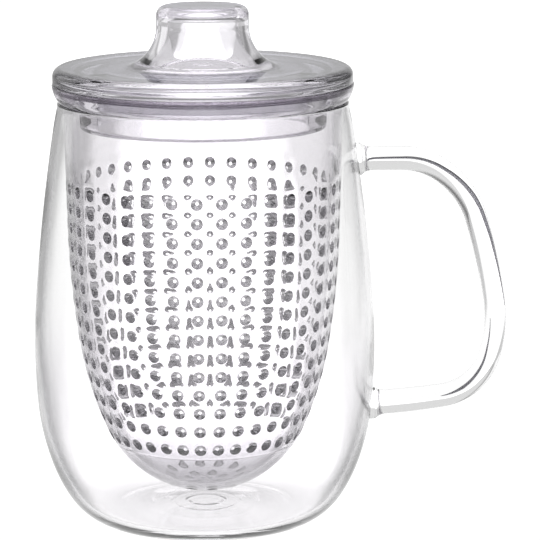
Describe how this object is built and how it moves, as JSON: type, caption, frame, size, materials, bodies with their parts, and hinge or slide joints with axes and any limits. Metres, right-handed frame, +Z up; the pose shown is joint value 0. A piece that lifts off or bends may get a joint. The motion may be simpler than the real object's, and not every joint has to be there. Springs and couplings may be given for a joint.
{
  "type": "tea mug",
  "caption": "Clear glass tea mug with a glass rod handle, a lift-out perforated infuser basket hanging from its rim, and a lift-off clear lid with a hollow knob.",
  "frame": {"origin": "mug axis at the plane the mug stands on", "axes": "+Z up along the mug's axis, +X towards the handle"},
  "size_m": [0.1271, 0.0914, 0.1391],
  "materials": {
    "clear_glass": "clear blown borosilicate glass, fire polished",
    "handle_glass": "clear drawn glass rod, fire polished",
    "infuser_plastic": "clear moulded plastic, faint smoke tint",
    "lid_plastic": "clear moulded plastic, faint smoke tint"
  },
  "bodies": {
    "mug": {"mug_vessel": "clear_glass", "mug_handle": "handle_glass"},
    "infuser": {"infuser_basket": "infuser_plastic"},
    "lid": {"lid_plate": "lid_plastic", "lid_knob": "lid_plastic"}
  },
  "joints": [
    {"name": "infuser_lift", "type": "slide", "parent": "mug", "child": "infuser", "axis": [0, 0, 1], "range_m": [0, 0.115]},
    {"name": "lid_lift", "type": "slide", "parent": "infuser", "child": "lid", "axis": [0, 0, 1], "range_m": [0, 0.04]}
  ]
}
